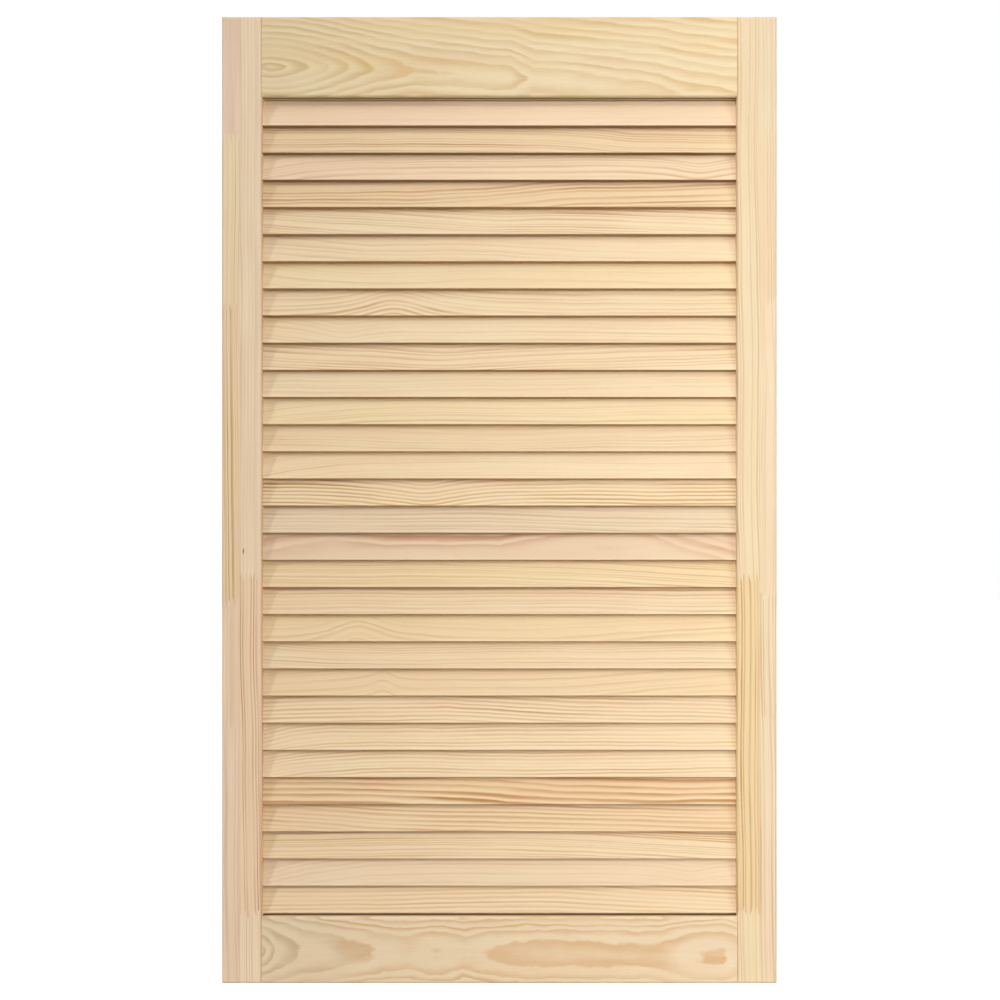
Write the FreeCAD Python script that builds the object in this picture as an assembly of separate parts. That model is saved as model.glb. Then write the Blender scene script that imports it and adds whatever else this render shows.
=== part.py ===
import FreeCAD
import Part
import math
import os

from FreeCAD import Vector

# A pine louvred door leaf: two stiles, two rails and a stack of fixed, overlapping slats.
# Millimetres. +Z is up, the front faces -Y, and +X runs to the right seen from the front.
# The origin is the centre of the left stile's outer edge, the edge that the leaf is hung by.

# The whole leaf
DOOR_HEIGHT = 850.0
DOOR_WIDTH = 488.0
DOOR_THICKNESS = 21.0

# The frame: full-height stiles, with the rails stub-tenoned between them
STILE_WIDTH = 35.0
TOP_RAIL_HEIGHT = 70.5
BOTTOM_RAIL_HEIGHT = 58.5
FRAME_ARRIS_RADIUS = 2.0
TENON_LENGTH = 14.0
TENON_THICKNESS = 7.0
TENON_SHOULDER = 10.0

# The slats: flat strips that lean back and overlap like weatherboards
SLAT_WIDTH = 29.0
SLAT_THICKNESS = 5.0
SLAT_ARRIS_RADIUS = 0.6
NOMINAL_SLAT_PITCH = 24.0
SLAT_AIR_GAP = 1.2
BOTTOM_SLAT_GAP = 1.0
TOP_SLAT_GAP = 0.5

# The stopped slots and mortises in the stiles that the slat ends and tenons stand in
SLAT_END_SEAT = 8.0
SOCKET_CLEARANCE = 0.1
SOCKET_END_GAP = 0.5

# Heights and widths that follow from the sizes above
DOOR_BOTTOM = -DOOR_HEIGHT / 2
DOOR_TOP = DOOR_HEIGHT / 2
OPENING_WIDTH = DOOR_WIDTH - 2 * STILE_WIDTH
OPENING_LEFT = STILE_WIDTH
OPENING_RIGHT = DOOR_WIDTH - STILE_WIDTH
OPENING_BOTTOM = DOOR_BOTTOM + BOTTOM_RAIL_HEIGHT
OPENING_TOP = DOOR_TOP - TOP_RAIL_HEIGHT

# The slats lean just enough to leave the air gap between them at the nominal pitch
SLAT_TILT = math.asin((SLAT_THICKNESS + SLAT_AIR_GAP) / NOMINAL_SLAT_PITCH)
SLAT_FRONT_Y = -(SLAT_WIDTH * math.sin(SLAT_TILT) + SLAT_THICKNESS * math.cos(SLAT_TILT)) / 2

# Their front arrises divide the opening evenly, from the lowest slat up to the top rail
LOWEST_ARRIS_Z = OPENING_BOTTOM + BOTTOM_SLAT_GAP + SLAT_THICKNESS * math.sin(SLAT_TILT)
SLAT_COUNT = round((OPENING_TOP - LOWEST_ARRIS_Z) / NOMINAL_SLAT_PITCH)
SLAT_PITCH = (OPENING_TOP - LOWEST_ARRIS_Z) / SLAT_COUNT

# Each rail by its node name, with the height of its lower edge and its own height
RAILS = {
    "top_rail": (OPENING_TOP, TOP_RAIL_HEIGHT),
    "bottom_rail": (DOOR_BOTTOM, BOTTOM_RAIL_HEIGHT),
}


def arc_about(centre, radius, start_degrees):
    """A quarter circle in the YZ plane, counter-clockwise from the given angle."""
    points = []
    for degrees in (start_degrees, start_degrees + 45, start_degrees + 90):
        angle = math.radians(degrees)
        points.append(centre + Vector(0, radius * math.cos(angle), radius * math.sin(angle)))
    return Part.Arc(*points).toShape()


def bar(length, depth, height, arris_radius):
    """A planed bar along +X: depth along +Y, height along +Z, with its four long arrises rounded."""
    low = arris_radius
    far_y = depth - arris_radius
    far_z = height - arris_radius
    centres = [Vector(0, low, low), Vector(0, far_y, low), Vector(0, far_y, far_z), Vector(0, low, far_z)]
    arcs = [arc_about(centre, arris_radius, 180 + 90 * turn) for turn, centre in enumerate(centres)]
    edges = []
    for arc, next_arc in zip(arcs, arcs[1:] + arcs[:1]):
        edges.append(arc)
        edges.append(Part.LineSegment(arc.lastVertex().Point, next_arc.firstVertex().Point).toShape())
    return Part.Face(Part.Wire(edges)).extrude(Vector(length, 0, 0))


def slat_front_z(number):
    """Height of a slat's lower front arris, the slats being counted from the top."""
    return OPENING_TOP - number * SLAT_PITCH


def slat_width(number):
    """Width of a slat: the stock width, or less where it has to be ripped to fit under the top rail."""
    room_under_rail = OPENING_TOP - TOP_SLAT_GAP - slat_front_z(number)
    return min(SLAT_WIDTH, room_under_rail / math.cos(SLAT_TILT))


def lean_in_place(strip, number):
    """Takes a strip that stands upright on the origin to the place of one slat."""
    strip.rotate(Vector(0, 0, 0), Vector(1, 0, 0), -math.degrees(SLAT_TILT))
    strip.translate(Vector(0, SLAT_FRONT_Y, slat_front_z(number)))
    return strip


def slat(number):
    """One slat, long enough for both ends to stand in the stiles' slots."""
    strip = bar(OPENING_WIDTH + 2 * SLAT_END_SEAT, SLAT_THICKNESS, slat_width(number), SLAT_ARRIS_RADIUS)
    strip.translate(Vector(OPENING_LEFT - SLAT_END_SEAT, 0, 0))
    return lean_in_place(strip, number)


def slat_slot(number, start_x, depth):
    """The square-cornered cutter of one leaning slot, from start_x along +X."""
    thickness = SLAT_THICKNESS + 2 * SOCKET_CLEARANCE
    width = slat_width(number) + 2 * SOCKET_CLEARANCE
    corner = Vector(start_x, -SOCKET_CLEARANCE, -SOCKET_CLEARANCE)
    return lean_in_place(Part.makeBox(depth, thickness, width, corner), number)


def tenon_bar(start_x, length, rail_place, growth):
    """A rail's tenon as a plain bar along +X, set in by the shoulders and grown on every side."""
    rail_bottom, rail_height = rail_place
    depth = TENON_THICKNESS + 2 * growth
    height = rail_height - 2 * TENON_SHOULDER + 2 * growth
    corner = Vector(start_x, -depth / 2, rail_bottom + TENON_SHOULDER - growth)
    return Part.makeBox(length, depth, height, corner)


def rail(rail_place):
    """A rail between the stiles, with a stub tenon at each end."""
    rail_bottom, rail_height = rail_place
    board = bar(OPENING_WIDTH, DOOR_THICKNESS, rail_height, FRAME_ARRIS_RADIUS)
    board.translate(Vector(OPENING_LEFT, -DOOR_THICKNESS / 2, rail_bottom))
    tenons = tenon_bar(OPENING_LEFT - TENON_LENGTH, OPENING_WIDTH + 2 * TENON_LENGTH, rail_place, 0)
    return board.fuse(tenons).removeSplitter()


def sockets(inner_x, inward):
    """Cutters for one stile, going inward (-1 or 1) from inner_x: slat slots and rail mortises."""
    slot_depth = SLAT_END_SEAT + SOCKET_END_GAP
    slot_x = min(inner_x, inner_x + inward * slot_depth)
    slots = [slat_slot(number, slot_x, slot_depth) for number in range(1, SLAT_COUNT + 1)]
    mortise_depth = TENON_LENGTH + SOCKET_END_GAP
    mortise_x = min(inner_x, inner_x + inward * mortise_depth)
    mortises = [tenon_bar(mortise_x, mortise_depth, place, SOCKET_CLEARANCE) for place in RAILS.values()]
    return Part.makeCompound(slots + mortises)


def leaf_envelope():
    """The leaf's rounded outline seen from the side, which eases the stiles' end arrises."""
    envelope = bar(DOOR_WIDTH, DOOR_THICKNESS, DOOR_HEIGHT, FRAME_ARRIS_RADIUS)
    envelope.translate(Vector(0, -DOOR_THICKNESS / 2, DOOR_BOTTOM))
    return envelope


def stile(left_x, cutters):
    """A full-height stile from left_x to the right, cut for the slats and the rails."""
    upright = bar(DOOR_HEIGHT, DOOR_THICKNESS, STILE_WIDTH, FRAME_ARRIS_RADIUS)
    upright.rotate(Vector(0, 0, 0), Vector(0, 1, 0), -90)
    upright.translate(Vector(left_x + STILE_WIDTH, -DOOR_THICKNESS / 2, DOOR_BOTTOM))
    return upright.common(leaf_envelope()).cut(cutters)


def build():
    """Every piece of the leaf by its node name."""
    pieces = {
        "left_stile": stile(0, sockets(OPENING_LEFT, -1)),
        "right_stile": stile(OPENING_RIGHT, sockets(OPENING_RIGHT, 1)),
    }
    for name, place in RAILS.items():
        pieces[name] = rail(place)
    for number in range(1, SLAT_COUNT + 1):
        pieces[f"louvre_slat_{number:02d}"] = slat(number)
    return pieces


def main():
    os.makedirs("parts", exist_ok=True)
    for name, shape in build().items():
        solid = shape.Solids[0]
        print(name, "solids", len(shape.Solids), "valid", solid.isValid(), "volume", round(solid.Volume))
        solid.exportStep(os.path.join("parts", name + ".step"))
    print("slats", SLAT_COUNT, "pitch", round(SLAT_PITCH, 3), "tilt", round(math.degrees(SLAT_TILT), 2))


main()
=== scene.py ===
# %% [markdown]
# # A louvred pine door
# The object is a bare, unpainted louvred door leaf: two stiles, two rails and thirty slats that lean back
# and overlap. Its solids come from CAD at real size, so the shapes are not modelled again here. They are
# loaded as a fixed frame, and the lesson is about what CAD leaves out: sanded pine, with its rings, fibres
# and glued staves.

# %% Load the frame
import math
import random

import bpy
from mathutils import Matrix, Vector


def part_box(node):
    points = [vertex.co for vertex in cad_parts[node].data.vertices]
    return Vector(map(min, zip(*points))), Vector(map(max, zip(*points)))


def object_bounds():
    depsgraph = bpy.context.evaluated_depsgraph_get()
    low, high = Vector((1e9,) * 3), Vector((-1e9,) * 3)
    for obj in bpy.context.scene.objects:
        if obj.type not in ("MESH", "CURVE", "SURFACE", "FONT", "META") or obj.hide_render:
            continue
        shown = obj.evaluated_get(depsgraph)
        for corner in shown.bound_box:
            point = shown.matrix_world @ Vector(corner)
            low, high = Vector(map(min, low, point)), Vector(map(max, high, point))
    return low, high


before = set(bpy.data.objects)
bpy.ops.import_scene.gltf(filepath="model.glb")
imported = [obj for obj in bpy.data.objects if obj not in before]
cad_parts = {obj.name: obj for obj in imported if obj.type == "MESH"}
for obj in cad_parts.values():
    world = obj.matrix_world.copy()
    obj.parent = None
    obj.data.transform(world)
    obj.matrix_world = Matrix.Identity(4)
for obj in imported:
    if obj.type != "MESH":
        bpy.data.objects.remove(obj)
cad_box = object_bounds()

print("loaded", len(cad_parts), "pieces, from", tuple(cad_box[0]), "to", tuple(cad_box[1]))

# %% [markdown]
# ## Camera
# The door is seen square on from the front, at half its height. A far camera would show every gap between
# the slats alike. From close by, the gaps above eye level open up and the ones below close, and the real door
# shows that, so the camera stands 1.25 m away. The lens follows from that distance and from the width that
# has to fit the picture.

# %% Place the camera
scene = bpy.context.scene
scene.view_settings.view_transform = "Standard"

# Metres, but for the sensor, which Blender measures in millimetres like the lens
CAMERA_DISTANCE = 1.25
PICTURE_WIDTH = 0.879
PICTURE_MIDDLE = 0.24457
SENSOR_WIDTH = 36.0

door_front = cad_box[0].y
camera = bpy.data.objects.new("camera", bpy.data.cameras.new("camera"))
camera.data.sensor_width = SENSOR_WIDTH
camera.data.lens = SENSOR_WIDTH * CAMERA_DISTANCE / PICTURE_WIDTH
camera.location = (PICTURE_MIDDLE, door_front - CAMERA_DISTANCE, 0.0)
camera.rotation_euler = (math.pi / 2, 0, 0)
scene.collection.objects.link(camera)
scene.camera = camera
print("camera lens", round(camera.data.lens, 2), "mm")

# %% [markdown]
# ## Nodes and colours
# Materials, floor and world are all made of shader nodes. One small function adds a node, sets its options
# and fills its inputs with plain values or with links. Colours are written as hex values, as a colour picker
# shows them, and a second function turns them to the linear light that the shader works in.

# %% Helpers for nodes and colours
def add(tree, kind, inputs=None, **options):
    """Adds one node: options are its own settings, inputs are values, or nodes and sockets to link from."""
    node = tree.nodes.new("ShaderNode" + kind)
    for option, value in options.items():
        setattr(node, option, value)
    for socket, value in (inputs or {}).items():
        if isinstance(value, bpy.types.Node):
            value = value.outputs[0]
        if isinstance(value, bpy.types.NodeSocket):
            tree.links.new(value, node.inputs[socket])
        else:
            node.inputs[socket].default_value = value
    return node


def linear(hex_colour):
    """A hex sRGB colour as linear red, green, blue and alpha."""
    channels = [int(hex_colour[i:i + 2], 16) / 255 for i in (1, 3, 5)]
    return [c / 12.92 if c <= 0.04045 else ((c + 0.055) / 1.055) ** 2.4 for c in channels] + [1.0]


print("mid sapwood in linear light:", [round(c, 3) for c in linear("#e7cca8")])

# %% [markdown]
# ## Studio
# The door stands in a white studio. A white room would throw so much light back that the gaps between the
# slats would lose their dark lines. So the world is white only to the camera and to reflections, and gives
# almost no light. The kind of ray tells the two apart, and one function asks for it, because the floor needs
# it too.

# %% Make the world white to the eye only
WHITE = (1, 1, 1, 1)
WORLD_LIGHT = 0.03


def looked_at(tree):
    """1 for a ray that looks, straight or by reflection, and 0 for one that only carries light."""
    rays = add(tree, "LightPath").outputs
    seen = rays["Is Camera Ray"]
    for kind in ("Is Glossy Ray", "Is Transmission Ray"):
        seen = add(tree, "Math", {0: seen, 1: rays[kind]}, operation="MAXIMUM")
    return seen


world = bpy.data.worlds.new("white studio")
scene.world = world
world.use_nodes = True
sky = world.node_tree
glow = add(sky, "MapRange", {"Value": looked_at(sky), "To Min": WORLD_LIGHT, "To Max": 1.0})
background = sky.nodes["Background"].inputs
sky.links.new(glow.outputs[0], background["Strength"])
background["Color"].default_value = WHITE
print("world made, giving", WORLD_LIGHT, "of the light it shows")

# %% [markdown]
# ## Floor
# The floor is a sheet of white paper under the door. Like the world, it glows white to the eye only. It gives
# back about a third of the light that falls on it, which keeps the undersides of the slats from going black,
# and it still takes the door's shadow.

# %% Lay the floor
DOOR_MIDDLE = Vector((0.244, 0.0, 0.0))
FLOOR_SIZE = 9.0
# The share of light that the paper gives back to the door, the share that the eye sees, and its own white
PAPER_BOUNCE = 0.35
PAPER_SEEN = 0.30
PAPER_GLOW = 0.88
PAPER_ROUGHNESS = 0.9

bpy.ops.mesh.primitive_plane_add(size=FLOOR_SIZE, location=(DOOR_MIDDLE.x, 0, cad_box[0].z))
floor = bpy.context.object
floor.name = "studio_floor"
# Matt paper scatters light evenly, so it shows no highlight, only the soft shadow of the door
paper = bpy.data.materials.new("matt white studio paper")
paper.use_nodes = True
tree = paper.node_tree
seen = looked_at(tree)
shade = add(tree, "MapRange", {"Value": seen, "To Min": PAPER_BOUNCE, "To Max": PAPER_SEEN})
shine = add(tree, "Math", {0: seen, 1: PAPER_GLOW}, operation="MULTIPLY")
surface = tree.nodes["Principled BSDF"].inputs
tree.links.new(shade.outputs[0], surface["Base Color"])
tree.links.new(shine.outputs[0], surface["Emission Strength"])
surface["Emission Color"].default_value = WHITE
surface["Roughness"].default_value = PAPER_ROUGHNESS
floor.data.materials.append(paper)
print("floor at", round(cad_box[0].z, 4), "m")

# %% [markdown]
# ## Lights
# The real door was lit by large soft lamps. A softbox in front points past the right edge, so the door grows
# brighter from left to right, and a second one helps from the right. A wide light from above shades each slat
# under the lip of the next. A narrow one from the left draws the slanting shadow of the left stile on the
# slat ends. Sun lamps stand for these two, because they cover the whole door evenly. One more sun lights the
# back of the door. It is level, so that no light falls through the leaning gaps to the front.

# %% Hang the lamps
def hang(name, kind, place, aim, strength, **options):
    """Hangs one lamp at a place, turned towards what it lights."""
    lamp = bpy.data.objects.new(name, bpy.data.lights.new(name, kind))
    lamp.data.energy = strength
    for option, value in options.items():
        setattr(lamp.data, option, value)
    lamp.location = place
    lamp.rotation_euler = (Vector(aim) - Vector(place)).to_track_quat("-Z", "Y").to_euler()
    scene.collection.objects.link(lamp)


def from_door(azimuth, elevation, distance=4.0):
    """A place seen from the door: degrees to the right of straight ahead, and degrees up."""
    turn, lift = math.radians(azimuth), math.radians(elevation)
    ahead = Vector((math.sin(turn) * math.cos(lift), -math.cos(turn) * math.cos(lift), math.sin(lift)))
    return DOOR_MIDDLE + distance * ahead


# A softbox's strength is in watts, a sun's in watts for each square metre
PAST_THE_EDGE = (1.70, 0, 0)
hang("front_softbox", "AREA", (0.244, -4.2, 0.80), PAST_THE_EDGE, 11.2, size=0.8, spread=math.radians(50))
hang("right_softbox", "AREA", (2.15, -1.95, 0.55), DOOR_MIDDLE, 19.5, size=0.9)
hang("upper_fill", "SUN", from_door(5, 47), DOOR_MIDDLE, 1.21, angle=math.radians(60))
hang("left_fill", "SUN", from_door(-56, 22), DOOR_MIDDLE, 0.89, angle=math.radians(5))
hang("back_fill", "SUN", from_door(152, 0), DOOR_MIDDLE, 2.60, angle=math.radians(4))

# %% [markdown]
# ## How pine grows into a pattern
# A board's figure is a cut through the tree's rings, which lie around its heart like nested tubes. A flat
# picture of grain would look right on one face only. Instead, each point of the board is given its distance
# from the heart, and that distance decides which ring it is in and how far through that ring. Faces, edges
# and ends then agree, as they do in real wood. For that, a point has to know where it lies in its board, in
# millimetres: along the grain, through the board, and across its face. Noise that is stretched along the
# grain gives everything else that runs with the fibres.

# %% Measure a board in millimetres
MM_IN_A_METRE = 1000
# How far each unit of seed moves the noise in its three directions, so that no two boards share theirs.
# Every kind of streak adds a number of its own to the seed of its board.
SEED_STEPS = (1.0, 2.7, 5.3)


def board_space(tree, middle, upright=False):
    """Object coordinates as millimetres from a board's middle, with an upright board laid down."""
    turned = (middle[2], middle[1], -middle[0]) if upright else middle
    return add(tree, "Mapping", {
        "Vector": add(tree, "TexCoord").outputs["Object"],
        "Location": [-MM_IN_A_METRE * c for c in turned],
        "Rotation": (0, math.pi / 2 if upright else 0, 0),
        "Scale": [MM_IN_A_METRE] * 3,
    })


def streaks(tree, board, size, seed, detail=1.0):
    """Noise stretched to a size in millimetres along, through and across the board."""
    stretched = add(tree, "Mapping", {
        "Vector": board,
        "Location": [step * seed for step in SEED_STEPS],
        "Scale": [1 / length for length in size],
    })
    return add(tree, "TexNoise", {"Vector": stretched, "Scale": 1.0, "Detail": detail}).outputs


print("board space:", MM_IN_A_METRE, "units to the metre")

# %% [markdown]
# ## The heart of the tree
# A board sawn beside the heart shows straight lines, and one sawn over the heart shows arches. The heart
# doesn't run parallel to the board either, so it is given a place at a few stations along it, and runs
# straight from each to the next. Slow noise bends the grain on the way. Trunks aren't quite round, so the
# rings may have a roundness below 2, the circle, which gives more pointed arches.

# %% Measure the distance from the heart
SWAY_SIZE = (170, 60, 60)
NOISE_MIDDLE = (0.5, 0.5, 0.5)


def straight_between(tree, along, stations):
    """A value that runs straight from each station along the board to the next."""
    total = stations[0][1]
    for (start, value), (end, next_value) in zip(stations, stations[1:]):
        step = add(tree, "MapRange", {
            "Value": along, "From Min": start, "From Max": end, "To Max": next_value - value,
        })
        total = add(tree, "Math", {0: step, 1: total}, operation="ADD")
    return total


def from_heart(tree, board, cut):
    """The distance from the tree's heart in millimetres."""
    along = add(tree, "SeparateXYZ", {0: board}).outputs["X"]
    across = straight_between(tree, along, cut["heart across"])
    depth = straight_between(tree, along, cut["heart depth"])
    heart = add(tree, "CombineXYZ", {"X": along, "Y": depth, "Z": across})
    sway = streaks(tree, board, SWAY_SIZE, cut["seed"])["Color"]
    sway = add(tree, "VectorMath", {0: sway, 1: NOISE_MIDDLE}, operation="SUBTRACT")
    wander = (0, cut["wander"], cut["wander"])
    bent = add(tree, "VectorMath", {0: sway, 1: wander, 2: board}, operation="MULTIPLY_ADD")
    offset = add(tree, "VectorMath", {0: bent, 1: heart}, operation="SUBTRACT")
    offset = add(tree, "VectorMath", {0: offset}, operation="ABSOLUTE")
    offset = add(tree, "SeparateXYZ", {0: offset}).outputs
    deep = add(tree, "Math", {0: offset["Y"], 1: cut["roundness"]}, operation="POWER")
    wide = add(tree, "Math", {0: offset["Z"], 1: cut["roundness"]}, operation="POWER")
    total = add(tree, "Math", {0: deep, 1: wide}, operation="ADD")
    return add(tree, "Math", {0: total, 1: 1 / cut["roundness"]}, operation="POWER")


print("grain bends over about", SWAY_SIZE[0], "mm")

# %% [markdown]
# ## Rings
# Each year adds a ring. A list of stations turns the distance into a count of rings, because some years are
# wide and some narrow. Quick noise ripples the lines, and a bulge is added where the grain swells round a
# branch. Noise on the count itself makes the years uneven.

# %% Count the rings
RIPPLE_WIDTH = 9
SPELLS_TO_A_RING = 0.45


def swell(tree, board, distance, swelling):
    """Adds a bulge to the distance from the heart, highest at one place and fading to both sides."""
    place, length, rise = swelling
    along = add(tree, "SeparateXYZ", {0: board}).outputs["X"]
    away = add(tree, "MapRange", {"Value": along, "From Min": place, "From Max": place + length}, clamp=False)
    fading = add(tree, "Math", {0: away, 1: away, 2: 1.0}, operation="MULTIPLY_ADD")
    bulge = add(tree, "Math", {0: rise, 1: fading}, operation="DIVIDE")
    return add(tree, "Math", {0: distance, 1: bulge}, operation="ADD")


def ring_position(tree, board, cut):
    """The distance from the heart, counted in rings."""
    distance = from_heart(tree, board, cut)
    if "swelling" in cut:
        distance = swell(tree, board, distance, cut["swelling"])
    length, height = cut["ripple"]
    ripple = streaks(tree, board, (length, RIPPLE_WIDTH, RIPPLE_WIDTH), cut["seed"] + 3, 2.0)[0]
    ripple = add(tree, "MapRange", {
        "Value": ripple, "To Min": -height / 2, "To Max": height / 2,
    }, clamp=False)
    distance = add(tree, "Math", {0: distance, 1: ripple}, operation="ADD")
    rings = straight_between(tree, distance, cut["rings"])
    years = add(tree, "TexNoise", {
        "W": rings, "Scale": SPELLS_TO_A_RING, "Detail": 1.5,
    }, noise_dimensions="1D")
    return add(tree, "Math", {0: years, 1: cut["uneven"], 2: rings}, operation="MULTIPLY_ADD")


print("good and bad years take turns about every", round(1 / SPELLS_TO_A_RING, 1), "rings")

# %% [markdown]
# ## Latewood
# A ring starts with pale earlywood in spring. Darker latewood then builds up slowly until autumn and stops
# sharply, which gives every line a soft side and a hard one. Some years are darker than others, and every
# line fades in places.

# %% Darken the end of each year
FADING_SIZE = (110, 12, 12)
FADING_FROM = 0.34
FADING_TO = 0.60
FAINTEST = 0.45


def latewood(tree, board, rings, cut):
    """How dark the latewood is at each point: a slow rise in every ring, then a sharp end."""
    start, peak = cut["late part"]
    part = add(tree, "Math", {0: rings}, operation="FRACT")
    line = 1.0
    for border in (start, 1.0):
        slope = add(tree, "MapRange", {
            "Value": part, "From Min": border, "From Max": peak,
        }, interpolation_type="SMOOTHSTEP")
        line = add(tree, "Math", {0: slope, 1: line}, operation="MULTIPLY")
    year = add(tree, "Math", {0: rings}, operation="FLOOR")
    year = add(tree, "Math", {0: year, 1: cut["seed"]}, operation="ADD")
    vigour = add(tree, "TexWhiteNoise", {"W": year}, noise_dimensions="1D").outputs["Value"]
    vigour = add(tree, "MapRange", {"Value": vigour, "To Min": cut["weakest"], "To Max": 1.0})
    patchy = streaks(tree, board, FADING_SIZE, cut["seed"] + 7)[0]
    patchy = add(tree, "MapRange", {
        "Value": patchy, "From Min": FADING_FROM, "From Max": FADING_TO, "To Min": FAINTEST,
    })
    strength = add(tree, "Math", {0: vigour, 1: patchy}, operation="MULTIPLY")
    return add(tree, "Math", {0: line, 1: strength}, operation="MULTIPLY")


print("lines fade to", FAINTEST, "in places")

# %% [markdown]
# ## Colour of sanded pine
# Bare sanded pine is pale. Its tone drifts slowly along the board, from cream to honey, and here and there to
# a pink blush. Two patchy mixes over the ring lines give that. A single colour with ring lines alone would
# look printed.

# %% Tint the wood
HONEY_SIZE = (190, 26, 26)
HONEY_SPREAD = (0.42, 0.72)
BLUSH_SIZE = (70, 14, 14)
BLUSH_SPREAD = (0.48, 0.75)
BLUSH_SHARE = 0.22
BLUSH_COLOUR = "#eac4a2"


def tinted_rings(tree, board, late, colours, seed):
    """Earlywood and latewood colours, with slow drifts of tone over both."""
    wood = add(tree, "Mix", {0: late, 6: colours["early"], 7: colours["late"]}, data_type="RGBA").outputs[2]
    honey = streaks(tree, board, HONEY_SIZE, seed + 11, 2.0)[0]
    blush = streaks(tree, board, BLUSH_SIZE, seed + 29)[0]
    for patches, (thin, full), share, colour in (
        (honey, HONEY_SPREAD, colours["drift share"], colours["drift"]),
        (blush, BLUSH_SPREAD, BLUSH_SHARE, BLUSH_COLOUR),
    ):
        patches = add(tree, "MapRange", {
            "Value": patches, "From Min": thin, "From Max": full, "To Max": share,
        })
        wood = add(tree, "Mix", {0: patches, 6: wood, 7: linear(colour)}, data_type="RGBA").outputs[2]
    return wood


print("honey patches are about", HONEY_SIZE[0], "mm long, blushes", BLUSH_SIZE[0], "mm")

# %% [markdown]
# ## Fibres and a painted highlight on the lips
# Between the ring lines, pine shows fine fibres and short resin canals. Real fibres are a few hundredths of a
# millimetre wide and would vanish at this distance, so the streaks are drawn a little under a millimetre
# wide. They only make the wood lighter or darker, so they are worked out as one shade for its colour. A band
# along the front lip of each slat is made a little paler: a painted highlight on its lower edge.

# %% Shade the fibres
FIBRE_SIZE = (45, 0.8, 0.8)
FIBRE_DARKEST = 0.935
FIBRE_RANGE = 0.13
CANAL_SIZE = (9, 0.6, 0.6)
CANAL_SPREAD = (0.66, 0.80)
CANAL_SHADE = -0.10
# A band along a slat's front lip is painted paler: a painted highlight, its width and its strength
LIP_HIGHLIGHT_WIDTH = 2.2
PAINTED_LIP_HIGHLIGHT = 0.09


def fibre_shade(tree, board, fibres, colours, seed):
    """How much lighter or darker fibres and resin canals make the wood, with a painted highlight on a slat's
    lip.
    """
    shade = add(tree, "Math", {0: fibres, 1: FIBRE_RANGE, 2: FIBRE_DARKEST}, operation="MULTIPLY_ADD")
    thin, full = CANAL_SPREAD
    canals = streaks(tree, board, CANAL_SIZE, seed + 23)[0]
    canals = add(tree, "MapRange", {
        "Value": canals, "From Min": thin, "From Max": full, "To Max": CANAL_SHADE,
    })
    shade = add(tree, "Math", {0: shade, 1: canals}, operation="ADD")
    # Painted highlight: the band along the slat's front lip is made paler
    if "lip" in colours:
        lip = colours["lip"]
        across = add(tree, "SeparateXYZ", {0: board}).outputs["Z"]
        painted_highlight = add(tree, "MapRange", {
            "Value": across, "From Min": lip + LIP_HIGHLIGHT_WIDTH, "From Max": lip, "To Max": PAINTED_LIP_HIGHLIGHT,
        })
        shade = add(tree, "Math", {0: shade, 1: painted_highlight}, operation="ADD")
    return shade


print("fibres are drawn", FIBRE_SIZE[1], "mm wide")

# %% [markdown]
# ## Sawn edges and painted gap shade
# Edges that only the saw has touched, and end grain, are browner than sanded faces. On this door they are the
# surfaces that look up or down, so the way that a surface faces finds them. On the upper slats that brown is
# darker, and on each rail a strip of the edge beside the slats is nearly black: both are painted shade for
# the dark gaps there.

# %% Brown the sawn edges and paint the gap shade
LEVEL_FROM = 0.84
LEVEL_TO = 0.95
SAWN_AND_SHADE_SHARE = 0.75
STRIP_BLUR = 0.5


def sawn_brown_and_shade(tree, board, colours):
    """How much of the saw's brown, or of the painted shade on rail and slat edges, shows at each point."""
    normal = add(tree, "TexCoord").outputs["Normal"]
    facing = add(tree, "SeparateXYZ", {0: normal}).outputs["Z"]
    inside = 1.0
    # On a rail only a strip of the edge beside the slats takes the dark colour: painted shade for the gap
    if "painted shade strip" in colours:
        front, back, side = colours["painted shade strip"]
        facing = add(tree, "Math", {0: facing, 1: side}, operation="MULTIPLY")
        through = add(tree, "SeparateXYZ", {0: board}).outputs["Y"]
        for border, blur in ((front, STRIP_BLUR), (back, -STRIP_BLUR)):
            within = add(tree, "MapRange", {
                "Value": through, "From Min": border - blur, "From Max": border + blur,
            })
            inside = add(tree, "Math", {0: within, 1: inside}, operation="MULTIPLY")
    else:
        facing = add(tree, "Math", {0: facing}, operation="ABSOLUTE")
    level = add(tree, "MapRange", {
        "Value": facing, "From Min": LEVEL_FROM, "From Max": LEVEL_TO, "To Max": SAWN_AND_SHADE_SHARE,
    })
    return add(tree, "Math", {0: level, 1: inside}, operation="MULTIPLY")


print("sawn edges take", SAWN_AND_SHADE_SHARE, "of the saw's brown")

# %% [markdown]
# ## Finish
# The latewood is harder than the earlywood, so sanding leaves it a little proud and a little smoother, which
# the bump and the roughness take up. Unfinished wood is dry and scatters nearly all light, so the gloss is
# turned down almost to nothing. All of it goes to the sockets of the material's own shader.

# %% Finish the wood
# Four hundredths of a millimetre, in metres
GRAIN_HEIGHT = 0.00004
GRAIN_STRENGTH = 0.5
EARLYWOOD_ROUGHNESS = 0.68
LATEWOOD_ROUGHNESS = 0.56
WOOD_IOR = 1.5
WOOD_GLOSS = 0.06


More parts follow.
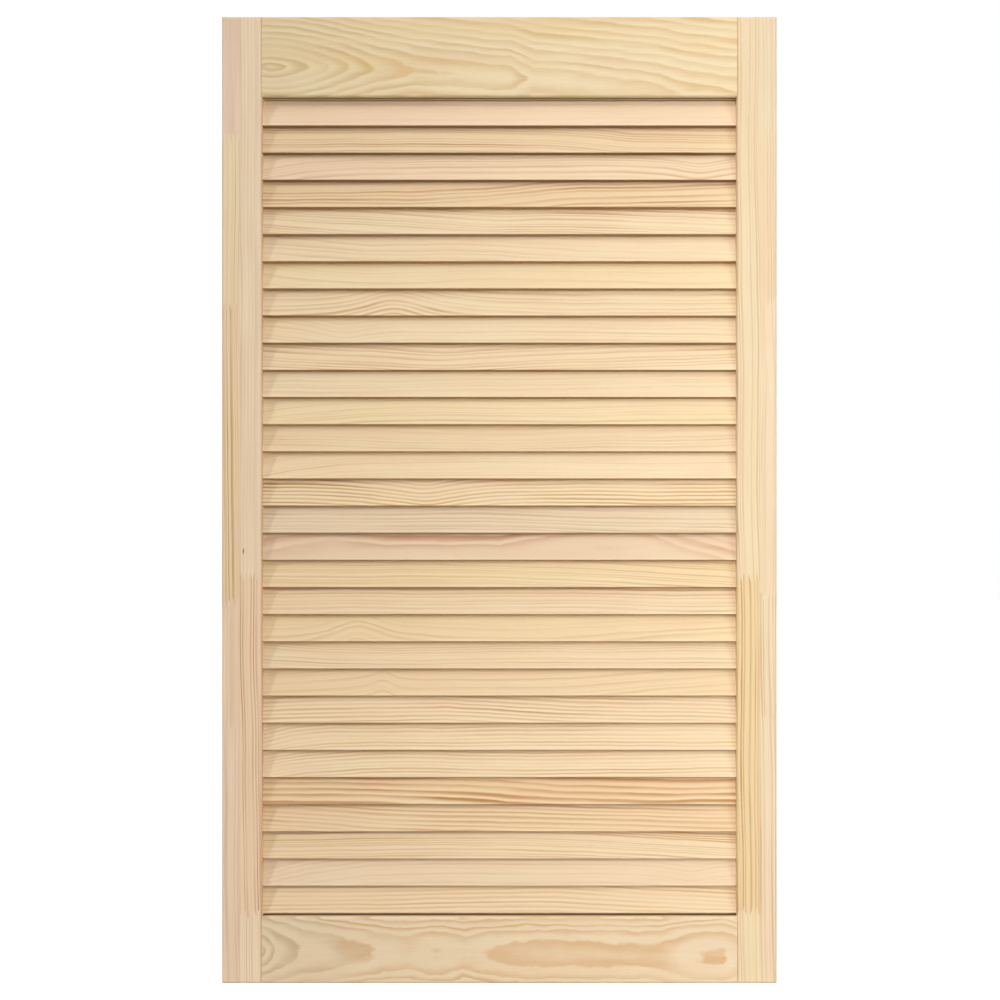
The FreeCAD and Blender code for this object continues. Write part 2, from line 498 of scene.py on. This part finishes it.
def sanded_pine(tree, board, late, colours, seed):
    """Colour, bump and roughness of bare sanded pine, set on the material's own shader."""
    fibres = streaks(tree, board, FIBRE_SIZE, seed + 17, 2.0)[0]
    wood = tinted_rings(tree, board, late, colours, seed)
    shade = fibre_shade(tree, board, fibres, colours, seed)
    wood = add(tree, "VectorMath", {0: wood, "Scale": shade}, operation="SCALE")
    # The saw's brown: real end grain on the stiles, partly painted shade for the gaps on the slats, and
    # painted shade on the rails
    sawn = sawn_brown_and_shade(tree, board, colours)
    wood = add(tree, "Mix", {0: sawn, 6: wood, 7: linear(colours["sawn"])}, data_type="RGBA").outputs[2]
    height = add(tree, "Math", {0: fibres, 1: late}, operation="ADD")
    grain = add(tree, "Bump", {"Height": height, "Distance": GRAIN_HEIGHT, "Strength": GRAIN_STRENGTH})
    matt = add(tree, "MapRange", {
        "Value": late, "To Min": EARLYWOOD_ROUGHNESS, "To Max": LATEWOOD_ROUGHNESS,
    })
    surface = tree.nodes["Principled BSDF"].inputs
    tree.links.new(wood, surface["Base Color"])
    tree.links.new(grain.outputs[0], surface["Normal"])
    tree.links.new(matt.outputs[0], surface["Roughness"])
    surface["IOR"].default_value = WOOD_IOR
    surface["Specular IOR Level"].default_value = WOOD_GLOSS


def new_wood(name):
    """A new node material and its tree."""
    material = bpy.data.materials.new(name)
    material.use_nodes = True
    return material, material.node_tree


def dress(node_name, material):
    """Gives a CAD piece its wood."""
    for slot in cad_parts[node_name].material_slots:
        slot.material = material


print("pine finish ready, roughness", LATEWOOD_ROUGHNESS, "to", EARLYWOOD_ROUGHNESS)

# %% [markdown]
# ## Rails
# Both rails are flat-sawn boards with their heart close to the front face at the left end. The heart sinks
# away from the face to the right, so the rings open into arches that point right, and further on into long
# wavy lines. The stations were set one arch at a time. The dark lines are greyer at the left end and
# warmer further on.

# %% Saw the rails
# Stations are (millimetres along, value), and those of the rings (millimetres from the heart, rings). A ripple
# has a length and a height, and the late part of a ring a start and a darkest point, as shares of the ring.
# A painted shade strip gives its front and back border and whether its edge faces up (1) or down (-1).
# On the rails the near-black sawn colour on that strip is painted shade, for the gap beside the slats.
RAIL_CUTS = {
    "top_rail": {
        "heart across": [(-223, -9), (-80, -11), (223, -38)],
        "heart depth": [(-209, -13), (-168, -1), (-131, 10), (-107, 16), (-74, 21), (10, 23), (30, 28),
                        (140, 30), (165, 33), (223, 35)],
        "rings": [(-1, -2), (10, 0), (43, 6), (47, 7), (53, 8), (58, 9), (65, 10), (70, 11), (77, 12),
                  (110, 17)],
        "roundness": 1.5, "wander": 3.0, "ripple": (24, 3.4), "uneven": 0.0, "seed": 4.0,
        "late part": (0.08, 0.80), "weakest": 0.30, "contrast": 0.70,
        "early": "#f3dfb8", "late": ["#cdab6e", "#d3a661"], "drift": "#ebc788",
        # Painted shade: the near-black strip on the lower edge stands for the gap above the top slat
        "sawn": "#24140a", "painted shade strip": (-6.8, -3.2, -1.0),
    },
    "bottom_rail": {
        "heart across": [(-223, 0), (-60, -3), (223, -5)],
        "heart depth": [(-209, -7), (-197, 5), (-172, 13), (-101, 21), (-80, 22), (-60, 20), (-50, 20),
                        (-32, 22), (-12, 20), (20, 18), (141, 18), (172, 12), (196, 11), (209, 15)],
        "rings": [(-1, -1), (7, 0), (31, 3), (36, 4), (39, 5), (43, 6), (46, 7), (60, 11)],
        "roundness": 2.0, "wander": 2.0, "ripple": (18, 3.6), "uneven": 0.0, "seed": 9.0,
        "late part": (0.25, 0.86), "weakest": 0.6, "contrast": 0.85,
        "early": "#edd7b4", "late": ["#bb9c74", "#d9a873"], "drift": "#e6c69c",
        # Painted shade: the near-black strip on the top edge stands for the gap under the bottom slat
        "sawn": "#24140a", "painted shade strip": (-5.4, -0.5, 1.0),
    },
}
# Where along a board the left tone of its dark lines turns into the right one
LATE_TURN = (-170, -90)
BOARD_DRIFT_SHARE = 0.35


def saw_board(node_name, cut):
    """A board's own pine: its middle from the CAD box, its rings from where its heart lay."""
    low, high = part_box(node_name)
    # Bare sanded pine gives cream and honey tones, fine dark ring lines and a dry surface, hardly glossy
    material, tree = new_wood("sanded unfinished pine, " + node_name.replace("_", " "))
    board = board_space(tree, (low + high) / 2)
    late = latewood(tree, board, ring_position(tree, board, cut), cut)
    late = add(tree, "Math", {0: late, 1: cut["contrast"]}, operation="MULTIPLY")
    along = add(tree, "SeparateXYZ", {0: board}).outputs["X"]
    start, end = LATE_TURN
    rightwards = add(tree, "MapRange", {"Value": along, "From Min": start, "From Max": end})
    left, right = [linear(tone) for tone in cut["late"]]
    late_colour = add(tree, "Mix", {0: rightwards, 6: left, 7: right}, data_type="RGBA").outputs[2]
    own = {"early": linear(cut["early"]), "late": late_colour, "drift share": BOARD_DRIFT_SHARE}
    sanded_pine(tree, board, late, cut | own, cut["seed"])
    dress(node_name, material)


for node_name, cut in RAIL_CUTS.items():
    saw_board(node_name, cut)
print("rails sawn:", list(RAIL_CUTS))

# %% [markdown]
# ## Slats
# The slats are ripped from many different boards, so no two are alike. Most were sawn beside the heart and
# show straight lines that rise or fall a little where the heart didn't run parallel to the saw. Some are
# strongly striped, some nearly plain, and a few arch round a branch. One function saws them all, so thirty
# materials need only a table, which gives each slat its tone, its rings and the run of its lines.

# %% List the slats
# Colours of the earlywood, of the latewood at the left and at the right end, and of the drifts
SLAT_TONES = {
    "cream": ("#edd5b0", "#c89a6a", "#c89a6a", "#eccc9e"),
    "honey": ("#edd5ac", "#c69a64", "#c69a64", "#eccc98"),
    "orange": ("#eed2aa", "#bd8a58", "#bd8a58", "#e8c192"),
    "amber": ("#f1dab5", "#ba8550", "#cfa678", "#efd0a4"),
    "pink": ("#ecd3b1", "#caa07a", "#caa07a", "#e8c8a8"),
    "peach": ("#edd2aa", "#c6986a", "#c6986a", "#eac69a"),
    "blush": ("#f3d8b6", "#cda27c", "#cda27c", "#edcdac"),
    "pale": ("#f1dab5", "#c89a6a", "#c89a6a", "#efd0a4"),
    "rose": ("#e8cead", "#c69878", "#c69878", "#e3bfa0"),
    "straw": ("#f1dab0", "#c89a64", "#c89a64", "#efd09e"),
    "dull": ("#e8d2b1", "#c09a74", "#c09a74", "#e4c7a6"),
}
# From the top down: tone, width of a ring, strength of its dark part, and how far the lines have risen at
# places along the slat
SLATS = [
    # The top slat's pale tone is partly painted light: it makes up for the top rail's shadow on it
    ("blush", 4.0, 0.24, [(-217, -2), (217, 2)]),
    ("peach", 3.2, 1.02, [(-217, 0), (40, 0), (80, -3), (120, -7), (217, -9)]),
    ("blush", 3.4, 0.72, [(-217, -14), (-170, -6), (-120, -2), (-60, 0), (217, 0)]),
    ("peach", 4.0, 1.12, [(-217, -7), (-80, -6), (70, 4), (217, 7)]),
    ("pale", 3.4, 1.15, [(-217, 12), (-100, 5), (0, 0), (217, -6)]),
    ("pale", 3.2, 0.55, [(-217, 8), (-170, 4), (-120, 1), (0, 0), (217, -5)]),
    ("straw", 3.6, 0.28, [(-217, 9), (-170, 4), (-120, 1), (217, 0)]),
    ("pale", 4.0, 1.00, [(-217, -1), (217, -3)]),
    ("pale", 3.4, 0.62, [(-217, 4), (-60, 0), (217, -3)]),
    ("pale", 4.0, 0.95, [(-217, 3), (-80, -2), (0, -2), (217, 4)]),
    ("pale", 3.0, 0.36, [(-217, -3), (217, 2)]),
    ("straw", 3.4, 0.50, [(-217, -13), (-170, -6), (-120, -1), (-60, 0), (217, 1)]),
    ("cream", 3.0, 0.68, [(-217, 3), (0, 0), (217, 4)]),
    ("pale", 3.2, 0.54, [(-217, -12), (-180, -5), (-140, -1), (-60, 0), (217, 1)]),
    ("amber", 3.6, 1.55, [(-217, 2), (-100, -1), (0, 1), (217, 0)]),
    ("dull", 3.2, 0.62, [(-217, 2), (0, 0), (217, -4)]),
    ("rose", 4.5, 1.15, [(-217, -4), (-150, 2), (-100, -3), (0, -6), (50, 1), (85, 5), (110, 6), (135, 4),
                         (165, -3), (217, -15)]),
    ("honey", 3.0, 0.78, [(-217, 0), (0, 0), (80, -4), (217, -14)]),
    ("cream", 3.4, 1.00, [(-217, 1), (217, -1)]),
    ("honey", 3.4, 0.46, [(-217, -2), (50, -2), (217, 8)]),
    ("cream", 2.9, 0.72, [(-217, 5), (-150, 0), (217, 1)]),
    ("peach", 3.6, 0.38, [(-217, -6), (-105, 0), (-90, -3), (60, 0), (217, 9)]),
    ("pale", 3.4, 1.15, [(-217, -3), (-50, 1), (0, -1), (60, -5), (217, -10)]),
    ("pale", 3.4, 0.86, [(-217, -13), (-185, -5), (-150, -1), (-80, 0), (217, 0)]),
    ("pale", 3.1, 0.82, [(-217, -13), (-170, -5), (-120, -1), (-60, 0), (217, 0)]),
    ("orange", 4.8, 1.58, [(-217, 2), (-110, 1), (-30, -1), (60, -4), (217, -6)]),
    ("peach", 4.0, 1.08, [(-217, 14), (-110, 6), (0, 1), (80, -1), (217, -2)]),
    ("cream", 2.9, 1.15, [(-217, -1), (0, 1), (80, -2), (217, -9)]),
    ("pink", 3.6, 0.52, [(-217, -22), (-170, -9), (-115, -1), (-60, 0), (217, 0)]),
    ("cream", 3.6, 0.95, [(-217, -3), (-100, 0), (50, 0), (217, -6)]),
]
# By number from the top, where the grain swells round a branch: how far along the slat that is, how long the
# swelling is and how high it rises
SLAT_SWELLINGS = {
    3: (177, 24, -6), 8: (-93, 36, 15), 9: (-138, 28, -8), 10: (-50, 40, -6), 15: (-65, 30, -8),
    20: (-125, 28, 11), 22: (-101, 14, 5), 29: (170, 22, -5),
}
# Slats from trees that grew about as much every year
STEADY_YEARS = {15, 23, 24, 25, 26, 27, 30}
# One slat was sawn nearly over the heart: its number, and how far across and how deep the heart lies
OVER_THE_HEART = {17: (18, 28)}
# The saw's brown on the slat edges, down to the slat of that number. It is darker near the top: painted shade
# for the dark gaps between the upper slats.
SAWN_EDGES_AND_GAP_SHADE = [(3, "#6e4724"), (11, "#a87a48"), (30, "#cda373")]
print("slats listed:", len(SLATS), "in", len(SLAT_TONES), "tones")

# %% [markdown]
# ## Sawing the slats
# A seeded random number places each slat in its tree, on either side of the heart, so the grain differs from
# slat to slat and still comes out the same every time. Everything that the table doesn't say is the same for
# all of them.

# %% Saw the slats
SLAT_SEED = 100
# Least and most millimetres from the slat to the heart, across its face and through it
HEART_ACROSS = (60, 115)
HEART_DEPTH = (5, 50)
# A slat that has no branch near it still swells a little, over a long way
SLIGHT_LENGTH = 60
SLIGHT_RISE = 2
# Beyond the farthest point of any slat from its heart
FARTHEST = 200
# How uneven the years are
STEADY = 0.7
UNEVEN = 1.8
# How far a slat's front lip lies above the lowest point of its box
LIP_RISE = 1.25


def slat_cut(number, tone, ring_width, contrast, lines):
    """One slat's place in its tree, varied by a random number that its own number seeds."""
    chance = random.Random(SLAT_SEED + number)
    side = chance.choice((-1, 1))
    across, depth = chance.uniform(*HEART_ACROSS), chance.uniform(*HEART_DEPTH)
    across, depth = OVER_THE_HEART.get(number, (across, depth))
    slight = (0, SLIGHT_LENGTH, chance.uniform(-SLIGHT_RISE, SLIGHT_RISE))
    place, length, rise = SLAT_SWELLINGS.get(number, slight)
    early, left_late, right_late, drift = SLAT_TONES[tone]
    low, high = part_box(f"louvre_slat_{number:02d}")
    return {
        "heart across": [(along, side * across + risen) for along, risen in lines],
        "heart depth": [(0, chance.choice((-1, 1)) * depth)],
        "rings": [(0, 0), (FARTHEST, FARTHEST / ring_width)],
        "swelling": (place, length, side * rise),
        "roundness": 2.0, "wander": 7.0, "ripple": (34, 1.8), "seed": 10.0 + 3.7 * number,
        "uneven": STEADY if number in STEADY_YEARS else UNEVEN,
        "late part": (0.18, 0.80), "weakest": min(0.6, 0.4 * contrast), "contrast": contrast,
        "early": early, "late": [left_late, right_late], "drift": drift,
        "lip": MM_IN_A_METRE * (low.z - high.z) / 2 + LIP_RISE,
        "sawn": next(colour for last, colour in SAWN_EDGES_AND_GAP_SHADE if number <= last),
    }


for number, row in enumerate(SLATS, start=1):
    saw_board(f"louvre_slat_{number:02d}", slat_cut(number, *row))
print("slats sawn:", len(SLATS))

# %% [markdown]
# ## Staves
# The stiles are made up of short offcuts: two strips side by side, each of several staves joined end to end
# by glued fingers. Every stave comes from another board, so the tone and the rings change at each joint. A
# zigzag moves the border between two staves up and down across the strip, and counting the joints below a
# point gives its stave. Cutting real fingers would give the same picture for far more faces.

# %% Number the staves
# Staves are counted from the bottom up, first those of the outer strip and then those of the inner one.
# Joints, border and flecks are in millimetres from the stile's middle, and the outer side is 1 or -1.
STILE_STAVES = {
    "left_stile": {
        "outer": 1, "border": 1.5, "joints": {"outer": (-197, -90, 171, 319), "inner": (-364, -67)},
        "tones": ["#f7dbbd", "#f7daba", "#f8dab3", "#f9e1bb", "#f7dabf", "#fae2c0", "#f9d9b6", "#fae3c1"],
        "stripes": [0.5, 0.45, 1.1, 0.7, 0.25, 0.6, 1.15, 0.45],
        "flecks": [(-45, -1.5)], "seed": 2.0,
    },
    "right_stile": {
        "outer": -1, "border": 2.8, "joints": {"outer": (-192, -84, 174, 323), "inner": (-361, -68)},
        "tones": ["#edd7b5", "#ebd6b2", "#eed8b5", "#edd6b0", "#eddcba", "#eedab2", "#ebd0a0", "#eed9b3"],
        "stripes": [1.05, 0.95, 0.55, 0.45, 0.5, 0.6, 1.5, 0.7],
        "flecks": [], "seed": 5.0,
    },
}
FINGER_PITCH = 3.8
FINGER_LENGTH = 9.0


def joints_below(tree, zigzag, joints, first):
    """The first stave's number plus the count of finger joints that lie below each point."""
    count = first
    for joint in joints:
        above = add(tree, "Math", {0: zigzag, 1: float(joint)}, operation="GREATER_THAN")
        count = add(tree, "Math", {0: above, 1: count}, operation="ADD")
    return count


def stave_number(tree, board, plan):
    """The number of the stave that each point lies in."""
    sides = add(tree, "SeparateXYZ", {0: board}).outputs
    zigzag = add(tree, "Math", {0: sides["Z"], 1: FINGER_PITCH / 2}, operation="PINGPONG")
    zigzag = add(tree, "MapRange", {
        "Value": zigzag, "From Max": FINGER_PITCH / 2,
        "To Min": -FINGER_LENGTH / 2, "To Max": FINGER_LENGTH / 2,
    })
    zigzag = add(tree, "Math", {0: zigzag, 1: sides["X"]}, operation="ADD")
    outer_joints, inner_joints = plan["joints"]["outer"], plan["joints"]["inner"]
    outer_stave = joints_below(tree, zigzag, outer_joints, 0.0)
    inner_stave = joints_below(tree, zigzag, inner_joints, len(outer_joints) + 1.0)
    outward = add(tree, "Math", {0: sides["Z"], 1: float(plan["outer"])}, operation="MULTIPLY")
    inner = add(tree, "Math", {0: outward, 1: plan["border"]}, operation="LESS_THAN")
    return add(tree, "Mix", {0: inner, 2: outer_stave, 3: inner_stave}).outputs[0]


def stave_table(tree, stave, values):
    """Looks one colour per stave up in a stepped colour ramp."""
    place = add(tree, "MapRange", {"Value": stave, "From Min": -0.5, "From Max": len(values) - 0.5})
    ramp = add(tree, "ValToRGB", {0: place})
    ramp.color_ramp.interpolation = "CONSTANT"
    stops = ramp.color_ramp.elements
    for step, value in enumerate(values):
        stop = stops[0] if step == 0 else stops.new(step / len(values))
        stop.position = step / len(values)
        stop.color = value
    return ramp.outputs[0]


print("staves in a stile:", [len(plan["tones"]) for plan in STILE_STAVES.values()])

# %% [markdown]
# ## Stiles
# One set of rings serves all staves: a random shift moves each stave to another place in the tree, so that
# its lines break at the joints. On the left stile, a small dark fleck of bark that grew into the wood is a
# stretched spot, mixed into the tone before the rings and fibres run over it.

# %% Glue up the stiles
STAVE_CUT = {
    "heart across": [(-425, -70), (425, -60)], "heart depth": [(0, 46)], "rings": [(0, 0), (300, 95)],
    "roundness": 2.0, "wander": 8.0, "ripple": (60, 1.5), "uneven": 2.0, "seed": 3.0,
    "late part": (0.32, 0.86), "weakest": 0.12,
}
STAVE_COLOURS = {"late": linear("#bd8a58"), "drift": "#dfba92", "drift share": 0.2, "sawn": "#c9a273"}
# How far along, through and across the tree a stave may be moved
STAVE_SHIFT = (900, 40, 120)
FLECK_LENGTH = 7.0
FLECK_WIDTH = 1.6
FLECK_COLOUR = "#74502e"
# How much of a fleck is fully dark, before it fades to its border
FLECK_CORE = 0.4


def flecked(tree, board, tones, flecks):
    """The staves' tones with small dark flecks at places along and across the stile."""
    for along, across in flecks:
        near = add(tree, "Mapping", {
            "Vector": board,
            "Location": (-along / FLECK_LENGTH, 0, -across / FLECK_WIDTH),
            "Scale": (1 / FLECK_LENGTH, 0, 1 / FLECK_WIDTH),
        })
        near = add(tree, "VectorMath", {0: near}, operation="LENGTH").outputs["Value"]
        near = add(tree, "MapRange", {"Value": near, "From Min": 0.5, "From Max": 0.5 * FLECK_CORE})
        tones = add(tree, "Mix", {0: near, 6: tones, 7: linear(FLECK_COLOUR)}, data_type="RGBA").outputs[2]
    return tones


def glue_stile(node_name, plan):
    """One stile's pine: staves by strip and height, each with rings, tone and stripes of its own."""
    low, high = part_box(node_name)
    # Finger-jointed pine is as dry and pale, but its tone and its lines jump at every zigzag glue line
    material, tree = new_wood("sanded finger-jointed pine, " + node_name.replace("_", " "))
    board = board_space(tree, (low + high) / 2, upright=True)
    stave = stave_number(tree, board, plan)
    tones = stave_table(tree, stave, [linear(tone) for tone in plan["tones"]])
    tones = flecked(tree, board, tones, plan["flecks"])
    stripes = stave_table(tree, stave, [(strength, strength, strength, 1) for strength in plan["stripes"]])
    lot = add(tree, "Math", {0: stave, 1: plan["seed"]}, operation="ADD")
    chance = add(tree, "TexWhiteNoise", {"W": lot}, noise_dimensions="1D").outputs["Color"]
    moved = add(tree, "VectorMath", {0: chance, 1: STAVE_SHIFT, 2: board}, operation="MULTIPLY_ADD")
    late = latewood(tree, moved, ring_position(tree, moved, STAVE_CUT), STAVE_CUT)
    late = add(tree, "Math", {0: late, 1: stripes}, operation="MULTIPLY")
    sanded_pine(tree, moved, late, STAVE_COLOURS | {"early": tones}, plan["seed"])
    dress(node_name, material)


for node_name, plan in STILE_STAVES.items():
    glue_stile(node_name, plan)
print("stiles glued up:", list(STILE_STAVES))
